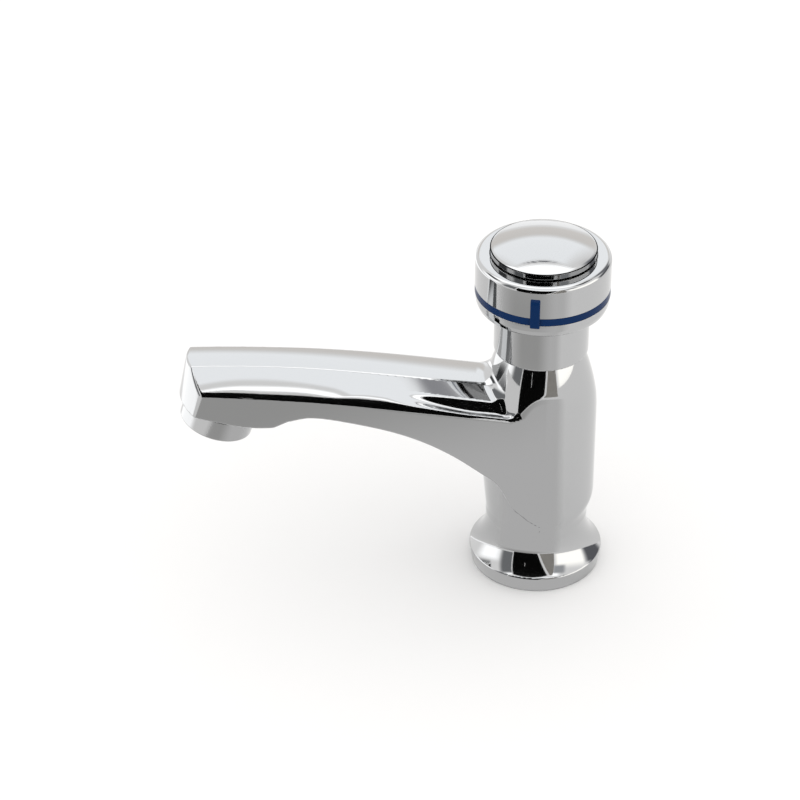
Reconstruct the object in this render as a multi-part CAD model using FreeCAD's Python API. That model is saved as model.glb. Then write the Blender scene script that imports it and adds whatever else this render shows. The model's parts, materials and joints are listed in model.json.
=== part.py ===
import FreeCAD, Part
import math
import os

os.makedirs("parts", exist_ok=True)

# A pillar tap for one cold supply, standing on the edge of a basin.
# Millimetres, +Z up. The origin is the middle of the base where it meets the deck.
# The spout points to -Y.
V = FreeCAD.Vector
UP = V(0, 0, 1)
ORIGIN = V(0, 0, 0)

# Clearances: sliding fits, the gap round the button and the gap at parts that are only located.
RUN = 0.05
SLIDE = 0.10
LOCATE = 0.05
BUTTON_GAP = 0.22

# Base, waist and column of the casting.
BASE_R = 25.0
BASE_FOOT_R = BASE_R - 0.9
BASE_EDGE_Z = 6.1
WAIST_R = 19.0
WAIST_Z = 21.5
FLARE_MID_R = 20.45
FLARE_MID_Z = 12.4
COLUMN_FOOT_Z = 24.4
COLUMN_LOW_R = 21.6
COLUMN_LOW_Z = 32.0
COLUMN_DEPTH_R = 21.2
COLUMN_WIDTH_R = 19.1
FLANK_S = 27.0
FLANK_HALF = 17.95
POST_R = 21.3
POST_MID_Z = 48.0
POST_TOP_Z = 66.0

# Shoulder and neck.
SHOULDER_Z = 66.0
SHOULDER_MID_R = 18.95
SHOULDER_MID_Z = 84.0
SHOULDER_TOP_R = 15.4
NECK_R = 17.28
NECK_Z = 94.5
NECK_TOP_Z = 127.0

# Spout: distance from the axis, half width, height of the top crease and height of the upper side edge.
CREST_HALF = 7.0
SPOUT = [
    (0.0, 19.10, 80.0, 72.4),
    (15.5, 18.44, 82.6, 74.9),
    (27.0, 17.95, 84.5, 76.7),
    (38.0, 17.35, 86.4, 78.4),
    (52.5, 16.50, 89.0, 80.4),
    (70.5, 15.55, 91.7, 82.6),
    (88.5, 14.80, 93.8, 84.6),
    (105.0, 14.30, 95.2, 86.4),
    (119.0, 14.00, 96.0, 87.7),
    (134.0, 13.85, 96.4, 88.8),
]
SPOUT_FLOOR_Z = 20.0
SPOUT_EDGE = 1.0

# Underside of the spout: the arch from the foot of the column to the step, then the outlet boss.
ARCH = [
    (0.5, 26.0),
    (5.4, 29.3),
    (8.0, 31.6),
    (11.5, 35.2),
    (13.7, 39.4),
    (16.2, 44.2),
    (21.5, 49.7),
    (28.6, 55.4),
    (38.2, 62.0),
    (52.7, 69.0),
    (70.8, 74.3),
    (84.0, 76.8),
    (90.0, 77.0),
]
BOSS_HEEL_S = 98.4
BOSS_HEEL_Z = 73.0
BOSS_TURN_S = 108.4
OUTLET_TILT = 17.0

# Nose: where the side faces end, and how far the front bulges beyond that, at two heights.
NOSE_LOW = (70.0, 129.7, 4.2)
NOSE_HIGH = (98.0, 121.1, 7.4)
NOSE_HALF = 14.0

# Waterways inside the casting.
INLET_R = 9.0
INLET_TOP_Z = 66.0
CHAMBER_R = 13.0
GALLERY_R = 15.2
GALLERY_LOW_Z = 72.5
GALLERY_TOP_Z = 80.5
CHANNEL_R = 4.0
CHANNEL_START = (6.0, 75.2)
CHANNEL_END = (109.0, 86.6)

# Threaded shank under the deck: G1/2 pipe thread.
SHANK_R = 20.955 / 2
SHANK_BORE_R = 7.0
SHANK_DEPTH = 46.0
SHANK_IN_BODY = 16.0
CONNECTOR_H = 12.0
GROOVE_R = SHANK_R - 1.0
GROOVE_H = 1.0
DECK_THICKNESS = 20.0
WASHER_R = BASE_R - 3.0
NUT_HEX = 30.0
NUT_FLANGE_R = 17.0
NUT_H = 8.0
RUBBER_H = 3.0
WASHER_H = 2.0
FILTER_RIM_R = SHANK_BORE_R + 1.5
FILTER_R = 5.6
FILTER_WALL = 1.0

# Outlet: M24 x 1 aerator in the boss.
THREAD_R = 12.0
SOCKET_DEPTH = 8.0
POCKET_R = 10.4
POCKET_DEPTH = 11.0
AERATOR_R = 13.5
AERATOR_DROP = 8.0
AERATOR_S = 116.7

# Head: collar, blue ring and push button.
COLLAR_R = 24.49
COLLAR_LOW_R = COLLAR_R - 2.1
COLLAR_LOW_Z = NECK_TOP_Z - 14.0
COLLAR_ROUND_R = COLLAR_R - 0.1
COLLAR_ROUND_Z = COLLAR_LOW_Z + 4.6
COLLAR_TOP_Z = NECK_TOP_Z + 7.0
COLLAR_EDGE = 2.0
COLLAR_FLOOR_Z = NECK_TOP_Z + 1.0
RING_LOW_Z = COLLAR_LOW_Z + 5.6
RING_HIGH_Z = RING_LOW_Z + 3.0
RING_R = COLLAR_R - 0.06
RING_SEAT_R = COLLAR_R - 1.6
TAB_ANGLE = -13.1
TAB_WIDTH = 3.5
TAB_LOW_Z = RING_LOW_Z - 0.9
TAB_HIGH_Z = RING_LOW_Z + 11.7
TAB_R = COLLAR_R + 1.0
SCREW_Z = NECK_TOP_Z - 1.8
SCREW_R = 1.25
SCREW_KEY = 1.3
BUTTON_R = 19.08
BUTTON_SKIRT_R = 18.55
BUTTON_RIM_Z = COLLAR_TOP_Z + 2.65
BUTTON_RIM_T = 2.2
BUTTON_FOOT_Z = BUTTON_RIM_Z - 4.25
BUTTON_DOME = 3.4
BUTTON_WALL = 1.8
BUTTON_ROOF = 1.5
BUTTON_BOSS_R = 5.5
BUTTON_BOSS_Z = BUTTON_RIM_Z - 3.05
TRAVEL = 4.0

# Cartridge inside the column.
HOUSING_R = CHAMBER_R - LOCATE
HOUSING_TOP_Z = NECK_TOP_Z - 10.0
CYLINDER_R = 9.5
SEAT_BORE_R = 5.5
SEAT_LIP_R = 6.5
SEAT_LIP = 0.8
HOUSING_FLOOR = 3.5
PORT_R = 2.6
LEDGE_LOW_Z = 82.0
LEDGE_Z = 85.0
STEM_R = 3.0
STEM_TOP_R = 2.5
STEM_FOOT_R = 2.0
STEM_STEP_Z = BUTTON_BOSS_Z - 1.6
PISTON_Z = HOUSING_TOP_Z - 12.0
PISTON_H = 5.5
CUP_H = 2.6
SPRING_WIRE_R = 0.55
SPRING_R = 6.4
SPRING_TURNS = 6
BONNET_HEX = 27.0
BONNET_HEX_H = 2.8
BONNET_SEAL_H = 1.0
SEAL_R = 0.9


def at(s, t, z):
    return V(t, -s, z)


def wire(points):
    return Part.makePolygon(points + [points[0]])


def lathe(profile, centre=ORIGIN, axis=UP):
    """Turns a closed profile of (radius, height) pairs into a solid on the Z axis."""
    face = Part.Face(wire([V(r, 0, z) for r, z in profile]))
    return face.revolve(centre, axis, 360)


def rod(radius, low, high):
    return Part.makeCylinder(radius, high - low, V(0, 0, low))


def tube(outer, inner, low, high):
    return rod(outer, low, high).cut(rod(inner, low - 1, high + 1))


def ring_of(ring_r, cord_r, z, turns=0.0, rise=0.0, steps=32, sides=8):
    """Sweeps a round cord in flat facets: a closed ring, or a coil where turns and rise are given."""
    closed = turns == 0
    count = steps if closed else int(steps * turns)
    rows = []
    for i in range(count if closed else count + 1):
        a = 2 * math.pi * i / steps
        row = []
        for k in range(sides):
            b = 2 * math.pi * k / sides
            r = ring_r + cord_r * math.cos(b)
            row.append(V(r * math.cos(a), r * math.sin(a), z + rise * i / count + cord_r * math.sin(b)))
        rows.append(row)
    faces = []
    for i in range(count):
        low, high = rows[i], rows[(i + 1) % len(rows)]
        for k in range(sides):
            n = (k + 1) % sides
            faces.append(Part.Face(wire([low[k], high[k], high[n]])))
            faces.append(Part.Face(wire([low[k], high[n], low[n]])))
    if not closed:
        faces.append(Part.Face(wire(rows[0])))
        faces.append(Part.Face(wire(rows[-1])))
    return Part.makeSolid(Part.makeShell(faces))


def oring(ring_r, cord_r, z):
    return ring_of(ring_r, cord_r, z)


def hexagon(across_flats, low, high, turn=0.0):
    corner = across_flats / math.sqrt(3)
    points = []
    for k in range(6):
        a = math.radians(60 * k + turn)
        points.append(V(corner * math.cos(a), corner * math.sin(a), low))
    return Part.Face(wire(points)).extrude(V(0, 0, high - low))


def save(name, shape):
    shape.exportStep("parts/" + name + ".step")


# Casting: the turned parts.
flare = Part.Arc(V(BASE_R, 0, BASE_EDGE_Z), V(FLARE_MID_R, 0, FLARE_MID_Z), V(WAIST_R, 0, WAIST_Z)).toShape()
post_rest = Part.makePolygon([
    V(WAIST_R, 0, WAIST_Z),
    V(WAIST_R, 0, COLUMN_FOOT_Z),
    V(POST_R, 0, POST_MID_Z),
    V(POST_R, 0, POST_TOP_Z),
    V(0, 0, POST_TOP_Z),
    ORIGIN,
    V(BASE_FOOT_R, 0, 0),
    V(BASE_R, 0, BASE_EDGE_Z),
])
post = Part.Face(Part.Wire([flare] + post_rest.Edges)).revolve(ORIGIN, UP, 360)

shoulder_low = V(COLUMN_LOW_R, 0, SHOULDER_Z)
shoulder_mid = V(SHOULDER_MID_R, 0, SHOULDER_MID_Z)
shoulder_top = V(SHOULDER_TOP_R, 0, NECK_Z)
shoulder = Part.Arc(shoulder_low, shoulder_mid, shoulder_top).toShape()
column_rest = Part.makePolygon([
    shoulder_top,
    V(NECK_R, 0, NECK_Z),
    V(NECK_R, 0, NECK_TOP_Z),
    V(0, 0, NECK_TOP_Z),
    V(0, 0, COLUMN_FOOT_Z),
    V(WAIST_R, 0, COLUMN_FOOT_Z),
    V(COLUMN_LOW_R, 0, COLUMN_LOW_Z),
    shoulder_low,
])
column = Part.Face(Part.Wire([shoulder] + column_rest.Edges)).revolve(ORIGIN, UP, 360)

# The column is oval in plan: round at the back, with flanks that run on into the sides of the spout.
oval_edge = Part.Ellipse(ORIGIN, COLUMN_DEPTH_R, COLUMN_WIDTH_R).toShape()
oval = Part.Face(Part.Wire(oval_edge)).extrude(V(0, 0, NECK_TOP_Z + 33))
oval.rotate(ORIGIN, UP, 90)
flanks = Part.Face(wire([
    at(0, COLUMN_WIDTH_R, 0),
    at(FLANK_S, FLANK_HALF, 0),
    at(FLANK_S, -FLANK_HALF, 0),
    at(0, -COLUMN_WIDTH_R, 0),
])).extrude(V(0, 0, NECK_TOP_Z + 33))
plan = oval.fuse(flanks)
above = plan.common(Part.makeBox(90, 90, NECK_TOP_Z + 3, V(-45, -45, WAIST_Z)))
foot = Part.makeBox(90, 90, WAIST_Z, V(-45, -45, 0))
column = column.common(plan)
post = post.common(above).fuse(post.common(foot))

# Casting: the spout, lofted through six-sided sections, then closed by the nose and the underside.
sections = []
for s, half, crest_z, edge_z in SPOUT:
    sections.append(wire([
        at(s, half, SPOUT_FLOOR_Z),
        at(s, half, edge_z),
        at(s, CREST_HALF, crest_z),
        at(s, -CREST_HALF, crest_z),
        at(s, -half, edge_z),
        at(s, -half, SPOUT_FLOOR_Z),
    ]))
spout = Part.makeLoft(sections, True, False)


def nose_wire(z, side_s, bulge):
    arc = Part.Arc(at(side_s, -NOSE_HALF, z), at(side_s + bulge, 0, z), at(side_s, NOSE_HALF, z)).toShape()
    back = Part.makePolygon([
        at(side_s, NOSE_HALF, z),
        at(side_s - 8, 30, z),
        at(-60, 30, z),
        at(-60, -30, z),
        at(side_s - 8, -30, z),
        at(side_s, -NOSE_HALF, z),
    ])
    return Part.Wire([arc] + back.Edges)


nose = Part.makeLoft([nose_wire(*NOSE_LOW), nose_wire(*NOSE_HIGH)], True, True)
below_nose = Part.makeBox(60, 160, NOSE_LOW[0] - 10, V(-30, -100, 10))

slope = math.tan(math.radians(OUTLET_TILT))
far_s = 145.0
arch_curve = Part.BSplineCurve()
arch_curve.interpolate([at(s, -45, z) for s, z in ARCH])
under_rest = Part.makePolygon([
    at(ARCH[-1][0], -45, ARCH[-1][1]),
    at(BOSS_HEEL_S, -45, BOSS_HEEL_Z),
    at(BOSS_TURN_S, -45, BOSS_HEEL_Z),
    at(far_s, -45, BOSS_HEEL_Z + (far_s - BOSS_TURN_S) * slope),
    at(far_s, -45, 10),
    at(ARCH[0][0], -45, 10),
    at(ARCH[0][0], -45, ARCH[0][1]),
])
under = Part.Face(Part.Wire([arch_curve.toShape()] + under_rest.Edges)).extrude(V(90, 0, 0))

spout_arm = spout.common(nose.fuse(below_nose)).cut(under)
soft = []
for edge in spout_arm.Edges:
    box = edge.BoundBox
    at_nose = box.YMax < -119 and box.ZMax > 82
    along_top = edge.Length > 90 and box.ZMin > 70
    if at_nose or along_top:
        soft.append(edge)
spout_arm = spout_arm.makeFillet(SPOUT_EDGE, soft)
casting = column.cut(under).fuse([spout_arm, post]).removeSplitter()

# Outlet frame: where the outlet axis meets the boss, and the two ways along it.
tilt = math.radians(OUTLET_TILT)
outlet_z = BOSS_HEEL_Z + (AERATOR_S - BOSS_TURN_S) * slope
OUTLET = at(AERATOR_S, 0, outlet_z)
OUTWARD = at(math.sin(tilt), 0, -math.cos(tilt))
INWARD = OUTWARD * -1


def outlet_rod(radius, start, end):
    """A cylinder on the outlet axis; distances count outward from the boss face."""
    return Part.makeCylinder(radius, end - start, OUTLET + OUTWARD * start, OUTWARD)


def outlet_ring(outer, inner, start, end):
    return outlet_rod(outer, start, end).cut(outlet_rod(inner, start - 1, end + 1))


# Casting: bores, gallery and waterway.
channel_a = at(CHANNEL_START[0], 0, CHANNEL_START[1])
channel_b = at(CHANNEL_END[0], 0, CHANNEL_END[1])
channel = Part.makeCylinder(CHANNEL_R, (channel_b - channel_a).Length, channel_a, channel_b - channel_a)
GROOVE_Z = 2.0
GROOVE_HIGH_R = BASE_FOOT_R - 1.7
GROOVE_LOW_R = GROOVE_HIGH_R - 3.4
cavities = [
    rod(SHANK_R, -1, SHANK_IN_BODY),
    rod(INLET_R, SHANK_IN_BODY - 1, INLET_TOP_Z),
    rod(CHAMBER_R, INLET_TOP_Z, NECK_TOP_Z + 1),
    rod(GALLERY_R, GALLERY_LOW_Z, GALLERY_TOP_Z),
    channel,
    outlet_rod(THREAD_R, -SOCKET_DEPTH, 1),
    outlet_rod(POCKET_R, -POCKET_DEPTH, 0),
    tube(GROOVE_HIGH_R, GROOVE_LOW_R, -1, GROOVE_Z),
]
body = casting.cut(cavities[0])
for cavity in cavities[1:]:
    body = body.cut(cavity)
save("body", body)

# Under the deck: shank, filter, gasket, washers and nut.
shank = tube(SHANK_R, SHANK_BORE_R, -SHANK_DEPTH, SHANK_IN_BODY)
groove_z = -SHANK_DEPTH + CONNECTOR_H
shank = shank.cut(tube(SHANK_R + 1, GROOVE_R, groove_z, groove_z + GROOVE_H))
shank_lip_z = -SHANK_DEPTH + 9
shank = shank.cut(rod(FILTER_RIM_R, -SHANK_DEPTH - 1, shank_lip_z))
save("inlet_shank", shank)

filter_cup = rod(FILTER_RIM_R, -SHANK_DEPTH, -SHANK_DEPTH + 1.6)
filter_cup = filter_cup.fuse(rod(FILTER_R, -SHANK_DEPTH, shank_lip_z + 4))
filter_cup = filter_cup.cut(rod(FILTER_R - FILTER_WALL, -SHANK_DEPTH - 1, shank_lip_z + 3))
for k in range(8):
    angle = math.radians(45 * k)
    slot = Part.makeBox(3, 1.2, 8, V(4, -0.6, -SHANK_DEPTH + 3))
    slot.rotate(ORIGIN, UP, math.degrees(angle))
    filter_cup = filter_cup.cut(slot)
save("inlet_filter", filter_cup)

save("base_gasket", tube(GROOVE_HIGH_R - LOCATE, GROOVE_LOW_R + LOCATE, 0, GROOVE_Z))

deck_z = -DECK_THICKNESS
save("deck_washer", tube(WASHER_R, SHANK_R + SLIDE, deck_z - RUBBER_H, deck_z))
washer_z = deck_z - RUBBER_H - WASHER_H
save("clamp_washer", tube(WASHER_R, SHANK_R + SLIDE, washer_z, washer_z + WASHER_H))
nut_low_z = washer_z - NUT_H
nut_corner = NUT_HEX / math.sqrt(3)
chamfer = Part.makeCone(nut_corner - 2.7, nut_corner + 2.3, 5, V(0, 0, nut_low_z))
nut = hexagon(NUT_HEX, nut_low_z, washer_z)
nut = nut.common(chamfer.fuse(rod(nut_corner + 2.3, nut_low_z + 5, washer_z)))
nut = nut.fuse(rod(NUT_FLANGE_R, washer_z - 1.5, washer_z)).cut(rod(SHANK_R, nut_low_z - 1, washer_z + 1))
save("mounting_nut", nut)

# Cartridge housing: floor with the seat, port chamber, ledge and cylinder.
port_low_z = INLET_TOP_Z + HOUSING_FLOOR
housing = rod(HOUSING_R, INLET_TOP_Z, HOUSING_TOP_Z)
housing = housing.cut(rod(SEAT_BORE_R, INLET_TOP_Z - 1, LEDGE_LOW_Z))
housing = housing.cut(rod(CYLINDER_R, port_low_z, LEDGE_LOW_Z))
housing = housing.cut(rod(STEM_R + SLIDE, LEDGE_LOW_Z - 1, LEDGE_Z + 1))
housing = housing.cut(rod(CYLINDER_R, LEDGE_Z, HOUSING_TOP_Z + 1))
housing = housing.fuse(tube(SEAT_LIP_R, SEAT_BORE_R, INLET_TOP_Z - SEAT_LIP, INLET_TOP_Z))
port_z = (GALLERY_LOW_Z + GALLERY_TOP_Z) / 2
for k in range(4):
    port = Part.makeCylinder(PORT_R, 20, V(0, 0, port_z), V(1, 0, 0))
    port.rotate(ORIGIN, UP, 45 + 90 * k)
    housing = housing.cut(port)
lower_seal_z = port_low_z + 0.9
upper_seal_z = LEDGE_Z + 6
for z in (lower_seal_z, upper_seal_z):
    housing = housing.cut(tube(HOUSING_R + 1, CHAMBER_R - 2 * SEAL_R - SLIDE, z - SEAL_R - 0.2, z + SEAL_R + 0.2))
save("cartridge_housing", housing)
save("housing_seal_lower", oring(CHAMBER_R - SEAL_R, SEAL_R, lower_seal_z))
save("housing_seal_upper", oring(CHAMBER_R - SEAL_R, SEAL_R, upper_seal_z))

# Bonnet nut: holds the housing down, carries the stem seal, and clamps its flange seal on the neck.
flange_z = NECK_TOP_Z + BONNET_SEAL_H
bonnet = rod(CHAMBER_R, HOUSING_TOP_Z, flange_z)
bonnet = bonnet.fuse(hexagon(BONNET_HEX, flange_z, flange_z + BONNET_HEX_H))
bonnet = bonnet.cut(rod(STEM_R + RUN, HOUSING_TOP_Z - 1, flange_z + BONNET_HEX_H + 1))
bonnet = bonnet.cut(rod(9.0, HOUSING_TOP_Z - 1, HOUSING_TOP_Z + 4))
bonnet = bonnet.cut(rod(BUTTON_BOSS_R + 1.0, flange_z - 0.5, flange_z + BONNET_HEX_H + 1))
stem_seal_z = NECK_TOP_Z - 4.0
stem_seal_r = STEM_R + SEAL_R
bonnet = bonnet.cut(rod(stem_seal_r + SEAL_R, stem_seal_z - SEAL_R - 0.2, stem_seal_z + SEAL_R + 0.2))
save("bonnet_nut", bonnet)
save("stem_seal", oring(stem_seal_r, SEAL_R, stem_seal_z))
save("bonnet_seal", tube(NECK_R - 1.3, CHAMBER_R + LOCATE, NECK_TOP_Z, flange_z))

# Moving parts: stem with its collar, piston, cup, valve disc, washer and nut.
disc_top_z = INLET_TOP_Z - SEAT_LIP
WASHER_T = 2.4
DISC_T = 2.2
DISC_R = 7.6
washer_low_z = disc_top_z - WASHER_T
disc_low_z = washer_low_z - DISC_T
stem_low_z = disc_low_z - 4.6
stem = rod(STEM_R, disc_top_z, STEM_STEP_Z)
stem = stem.fuse(rod(STEM_FOOT_R, stem_low_z, disc_top_z))
stem = stem.fuse(rod(STEM_TOP_R, STEM_STEP_Z, BUTTON_RIM_Z + 0.4))
stem = stem.fuse(rod(4.4, PISTON_Z - 1.5, PISTON_Z))
save("stem", stem)
save("seat_washer", tube(DISC_R - 0.2, STEM_FOOT_R + LOCATE, washer_low_z, disc_top_z))
save("valve_disc", tube(DISC_R, STEM_FOOT_R + LOCATE, disc_low_z, washer_low_z))
disc_nut = hexagon(7.0, disc_low_z - 3.2, disc_low_z).cut(rod(STEM_FOOT_R, disc_low_z - 5, disc_low_z + 1))
save("disc_nut", disc_nut)

piston = tube(CYLINDER_R - SLIDE, STEM_R + LOCATE, PISTON_Z, PISTON_Z + PISTON_H)
piston = piston.cut(tube(CYLINDER_R + 1, 7.2, PISTON_Z + 1.4, PISTON_Z + 1.4 + CUP_H))
save("timing_piston", piston)
cup_low_z = PISTON_Z + 1.4
cup = lathe([
    (7.2, cup_low_z + 0.05),
    (CYLINDER_R - 0.35, cup_low_z + 0.05),
    (CYLINDER_R, cup_low_z + CUP_H - 0.5),
    (CYLINDER_R, cup_low_z + CUP_H - 0.05),
    (CYLINDER_R - 0.8, cup_low_z + CUP_H - 0.05),
    (CYLINDER_R - 1.2, cup_low_z + 0.9),
    (7.2, cup_low_z + 0.9),
])
save("piston_cup", cup)

spring_low_z = LEDGE_Z + SPRING_WIRE_R
spring_high_z = PISTON_Z - SPRING_WIRE_R
coil = ring_of(SPRING_R, SPRING_WIRE_R, spring_low_z, SPRING_TURNS, spring_high_z - spring_low_z, 20, 6)
save("return_spring", coil)

# Button: shallow dome on a rim, hollow inside, with a boss that takes the end of the stem.
dome_r = (BUTTON_R ** 2 + BUTTON_DOME ** 2) / (2 * BUTTON_DOME)
dome_centre_z = BUTTON_RIM_Z + BUTTON_DOME - dome_r
rim_low_z = BUTTON_RIM_Z - BUTTON_RIM_T
roof_z = BUTTON_RIM_Z - BUTTON_ROOF
lip_z = BUTTON_RIM_Z - 0.4
cap = Part.makeSphere(dome_r, V(0, 0, dome_centre_z)).common(rod(BUTTON_R, lip_z, lip_z + 10))
button = cap.fuse([rod(BUTTON_R, rim_low_z, lip_z), rod(BUTTON_SKIRT_R, BUTTON_FOOT_Z, rim_low_z)])
button = button.cut(rod(BUTTON_SKIRT_R - BUTTON_WALL, BUTTON_FOOT_Z - 1, roof_z))
button = button.fuse(rod(BUTTON_BOSS_R, BUTTON_BOSS_Z, roof_z))
button = button.cut(rod(STEM_TOP_R, BUTTON_BOSS_Z - 1, BUTTON_RIM_Z + 0.4)).removeSplitter()
save("push_button", button)
locknut = hexagon(8.0, STEM_STEP_Z, BUTTON_BOSS_Z).cut(rod(STEM_TOP_R, STEM_STEP_Z - 1, BUTTON_BOSS_Z + 1))
save("button_locknut", locknut)

# Collar with the groove of the blue ring and the tapped hole behind its tab.
collar = lathe([
    (NECK_R + LOCATE, COLLAR_LOW_Z),
    (COLLAR_LOW_R, COLLAR_LOW_Z),
    (COLLAR_LOW_R + 1.1, COLLAR_LOW_Z + 0.9),
    (COLLAR_ROUND_R - 0.25, COLLAR_ROUND_Z - 1.9),
    (COLLAR_ROUND_R, COLLAR_ROUND_Z),
    (COLLAR_R, RING_LOW_Z),
    (RING_SEAT_R, RING_LOW_Z),
    (RING_SEAT_R, RING_HIGH_Z),
    (COLLAR_R, RING_HIGH_Z),
    (COLLAR_R, COLLAR_TOP_Z - COLLAR_EDGE),
    (COLLAR_R - 0.3 * COLLAR_EDGE, COLLAR_TOP_Z - 0.3 * COLLAR_EDGE),
    (COLLAR_R - COLLAR_EDGE, COLLAR_TOP_Z),
    (BUTTON_R + BUTTON_GAP, COLLAR_TOP_Z),
    (BUTTON_R + BUTTON_GAP, COLLAR_FLOOR_Z),
    (NECK_R + LOCATE, COLLAR_FLOOR_Z),
])


def facing_tab(shape):
    return shape.rotate(ORIGIN, UP, TAB_ANGLE)


def tab_box(inner, outer, width, low, high):
    return Part.makeBox(outer - inner, width, high - low, V(inner, -width / 2, low))


tab_hole = Part.makeCylinder(SCREW_R, 15, V(15, 0, SCREW_Z), V(1, 0, 0))
facing_tab(tab_hole)
collar = collar.cut(tab_hole)
tab_slot = tab_box(RING_SEAT_R, 30, TAB_WIDTH + 2 * LOCATE, TAB_LOW_Z, TAB_HIGH_Z)
facing_tab(tab_slot)
collar = collar.cut(tab_slot)
save("head_collar", collar)

screw = Part.makeCylinder(SCREW_R, RING_SEAT_R - 0.3 - NECK_R, V(NECK_R, 0, SCREW_Z), V(1, 0, 0))
key = hexagon(SCREW_KEY, 0, 4)
key.rotate(ORIGIN, V(0, 1, 0), 90)
key.translate(V(RING_SEAT_R - 2.3, 0, SCREW_Z))
screw = screw.cut(key)
facing_tab(screw)
save("collar_screw", screw)

ring = tube(RING_R, RING_SEAT_R, RING_LOW_Z, RING_HIGH_Z)
tab = Part.Face(wire([
    V(RING_SEAT_R, -TAB_WIDTH / 2, TAB_LOW_Z),
    V(TAB_R - 0.5, -TAB_WIDTH / 2, TAB_LOW_Z),
    V(TAB_R, -TAB_WIDTH / 2, TAB_LOW_Z + 0.6),
    V(TAB_R, -TAB_WIDTH / 2, TAB_HIGH_Z - 1.5),
    V(COLLAR_R - 0.1, -TAB_WIDTH / 2, TAB_HIGH_Z),
    V(RING_SEAT_R, -TAB_WIDTH / 2, TAB_HIGH_Z),
])).extrude(V(0, TAB_WIDTH, 0))
facing_tab(tab)
save("index_ring", ring.fuse(tab).removeSplitter())

# Aerator: housing with its thread, gasket, flow regulator and insert.
AERATOR_BORE_R = THREAD_R - 1.8
AERATOR_LIP = 1.2
THREAD_IN = 5.2
GASKET_H = 2.2
aerator = outlet_ring(AERATOR_R, AERATOR_BORE_R, LOCATE, AERATOR_DROP)
aerator = aerator.fuse(outlet_ring(THREAD_R, AERATOR_BORE_R, -THREAD_IN, LOCATE))
lip_start = AERATOR_DROP - AERATOR_LIP
aerator = aerator.fuse(outlet_ring(AERATOR_BORE_R, AERATOR_BORE_R - AERATOR_LIP, lip_start, AERATOR_DROP))
save("aerator_housing", aerator)
gasket_start = -SOCKET_DEPTH
save("aerator_gasket", outlet_ring(THREAD_R - 0.4, THREAD_R - 3.4, gasket_start, gasket_start + GASKET_H))
insert_start = gasket_start + GASKET_H
INSERT_R = AERATOR_BORE_R - LOCATE
REGULATOR_R = INSERT_R - 1.8
REGULATOR_H = 3.4
FACE_H = 3.0
insert = outlet_rod(INSERT_R, insert_start + REGULATOR_H, lip_start)
insert = insert.cut(outlet_rod(REGULATOR_R, insert_start, lip_start - FACE_H))
cell = 3.4
mouth = OUTLET + OUTWARD * (AERATOR_DROP - 5)
across = at(math.cos(tilt), 0, math.sin(tilt))
for row in range(-2, 3):
    for col in range(-3, 4):
        a = (col + 0.5 * (row % 2)) * cell
        b = row * cell * 0.866
        if math.hypot(a, b) < 7.4:
            hole = hexagon(cell - 0.5, 0, 6, 30)
            hole.rotate(ORIGIN, V(1, 0, 0), 180 - OUTLET_TILT)
            hole.translate(mouth + across * a + V(b, 0, 0))
            insert = insert.cut(hole)
save("aerator_insert", insert)
regulator = outlet_rod(REGULATOR_R, insert_start, insert_start + REGULATOR_H)
for k in range(6):
    hole = Part.makeCylinder(1.0, 6, OUTLET + OUTWARD * (insert_start - 1), OUTWARD)
    angle = math.radians(60 * k)
    hole.translate(across * (5 * math.cos(angle)) + V(5 * math.sin(angle), 0, 0))
    regulator = regulator.cut(hole)
regulator = regulator.fuse(outlet_ring(INSERT_R, REGULATOR_R, insert_start + 1.0, insert_start + REGULATOR_H))
save("flow_regulator", regulator)
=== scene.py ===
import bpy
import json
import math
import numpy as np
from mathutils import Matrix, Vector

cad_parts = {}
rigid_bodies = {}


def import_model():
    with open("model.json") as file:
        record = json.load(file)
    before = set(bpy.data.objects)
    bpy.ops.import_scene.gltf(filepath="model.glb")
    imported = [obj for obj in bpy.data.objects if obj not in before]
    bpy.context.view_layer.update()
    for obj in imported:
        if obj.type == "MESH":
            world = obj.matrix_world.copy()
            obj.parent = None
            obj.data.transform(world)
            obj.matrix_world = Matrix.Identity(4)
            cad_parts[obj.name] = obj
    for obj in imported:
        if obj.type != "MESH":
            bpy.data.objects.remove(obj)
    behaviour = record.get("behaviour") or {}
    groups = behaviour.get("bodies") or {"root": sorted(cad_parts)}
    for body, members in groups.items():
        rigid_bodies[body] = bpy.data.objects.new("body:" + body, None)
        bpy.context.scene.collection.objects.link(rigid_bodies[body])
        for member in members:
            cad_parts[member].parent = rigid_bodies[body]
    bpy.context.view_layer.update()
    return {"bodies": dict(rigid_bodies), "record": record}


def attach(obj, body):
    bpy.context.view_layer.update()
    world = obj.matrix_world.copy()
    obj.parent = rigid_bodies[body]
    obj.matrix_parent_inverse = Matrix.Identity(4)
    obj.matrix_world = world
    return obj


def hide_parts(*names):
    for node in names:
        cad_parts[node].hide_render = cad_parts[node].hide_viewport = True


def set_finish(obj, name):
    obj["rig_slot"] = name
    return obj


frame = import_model()

# %% [markdown]
# # A chrome push-button basin tap
# The frame gives 29 pieces of the tap on two bodies: the tap that stands on the basin, and the button that goes down.
# This cell prints the names of the bodies.
# The tap is measured in millimetres: s runs from the axis to the tip of the spout, t to the side and z up.
# The studio round it is measured in metres.

for body in frame["bodies"]:
    print("body", body)

# %% [markdown]
# ## From numbers to a polished surface
# Chrome shows every flat facet, so the pieces that the photo shows get finer surfaces, with the sizes of the frame.
# A mesh comes with its own normals: they are worked out from the shape, and a reflection runs over it without steps.

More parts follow.
